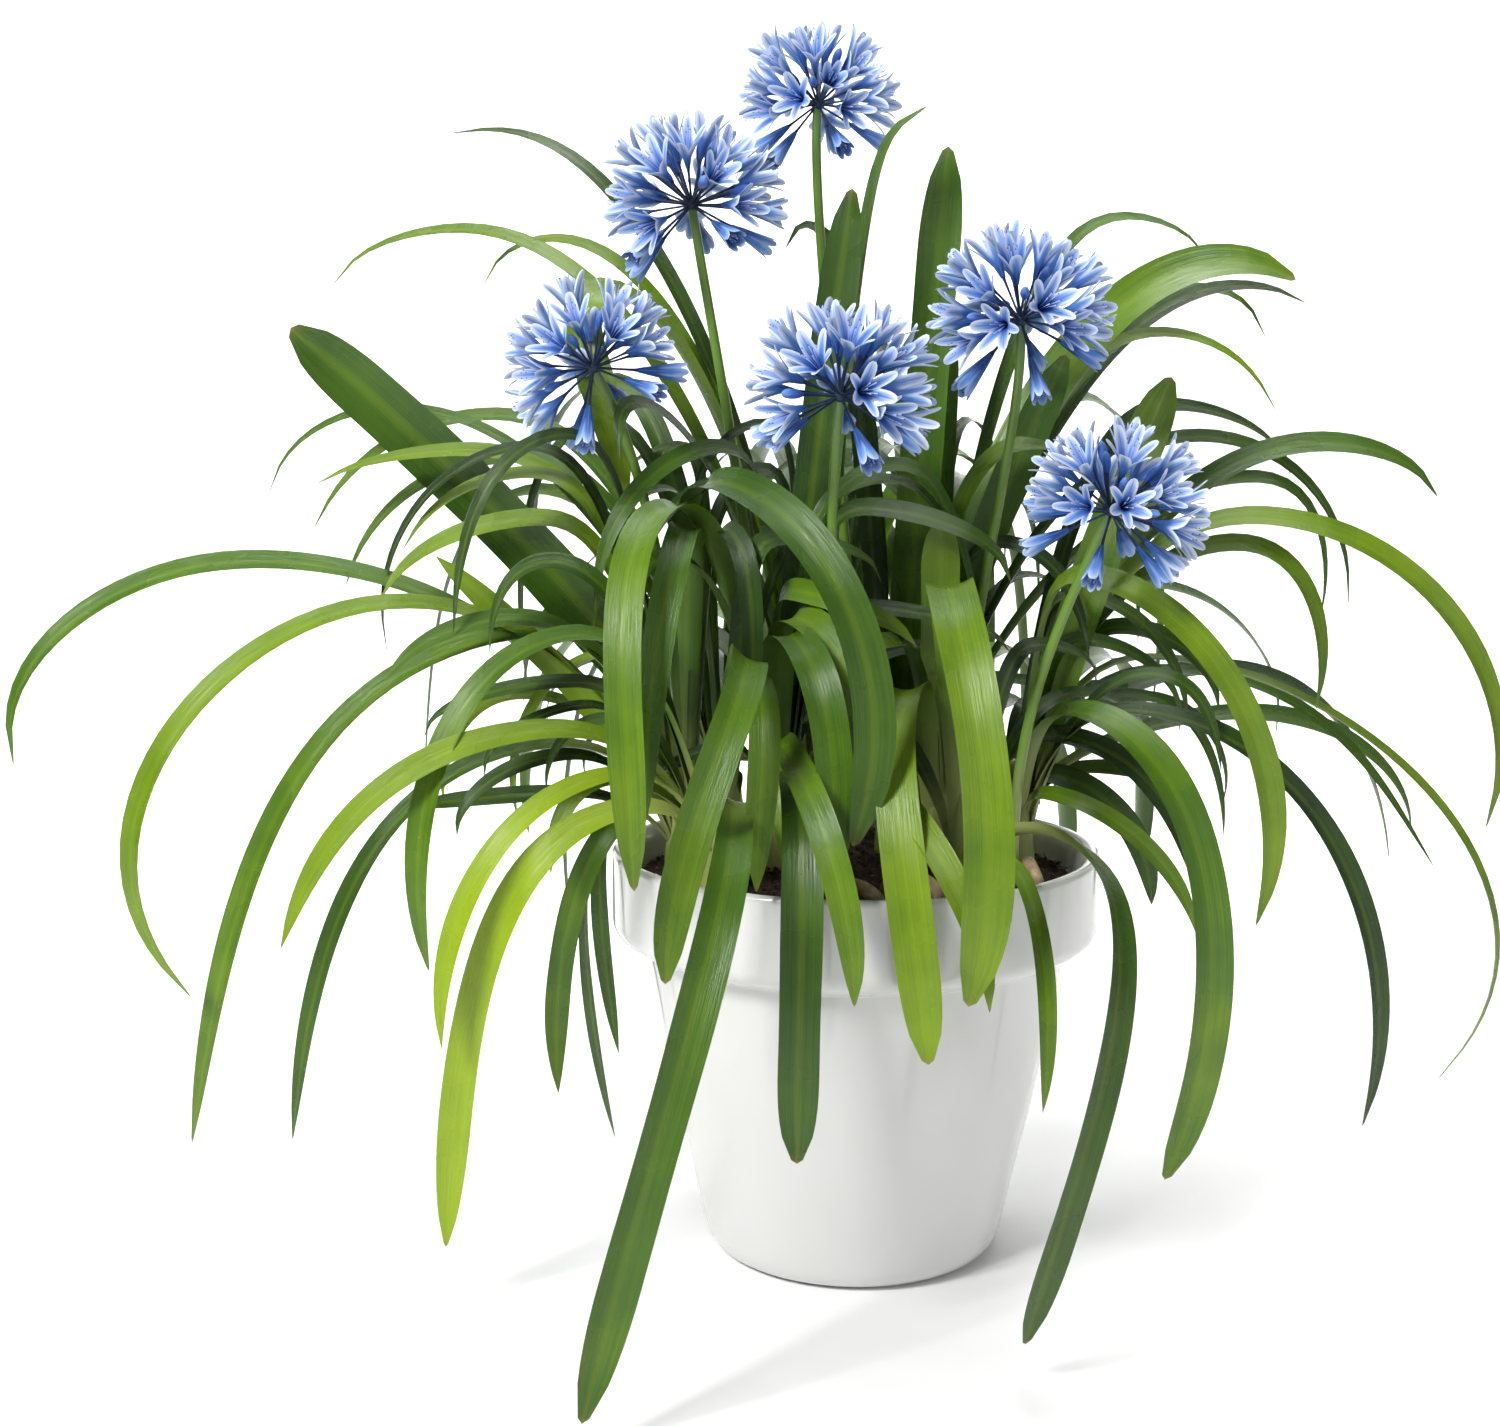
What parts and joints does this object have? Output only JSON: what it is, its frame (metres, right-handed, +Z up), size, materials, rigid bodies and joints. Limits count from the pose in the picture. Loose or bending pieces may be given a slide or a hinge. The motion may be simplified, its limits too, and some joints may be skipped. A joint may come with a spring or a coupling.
{
  "type": "potted agapanthus plant",
  "caption": "Clump-forming flowering plant with arching strap leaves and round blue flower heads on upright stems, standing in a rimmed white pot.",
  "frame": {"origin": "middle of the pot's flat base, on the surface it stands on", "axes": "+Z up, -Y towards the side shown in the picture, +X to that viewer's right"},
  "size_m": [1.0337, 0.7773, 0.8638],
  "materials": {
    "glaze": "glossy white glaze",
    "soil": "matt, fibrous",
    "root": "matt",
    "leaf": "satin leaf",
    "stem": "satin stem",
    "flower": "soft petal"
  },
  "bodies": {
    "root": {"pot": "glaze", "soil": "soil", "root_1": "root", "root_2": "root", "root_3": "root", "root_4": "root", "crown_left": "leaf", "crown_left_front": "leaf", "crown_mid_left": "leaf", "crown_mid": "leaf", "crown_mid_right": "leaf", "crown_right_front": "leaf", "crown_right": "leaf", "crown_back_left": "leaf", "crown_back": "leaf", "crown_back_right": "leaf", "crown_far_right": "leaf", "crown_inner": "leaf", "scape_1": "stem", "scape_2": "stem", "scape_3": "stem", "scape_4": "stem", "scape_5": "stem", "scape_6": "stem", "umbel_1": "flower", "umbel_2": "flower", "umbel_3": "flower", "umbel_4": "flower", "umbel_5": "flower", "umbel_6": "flower"}
  },
  "joints": []
}
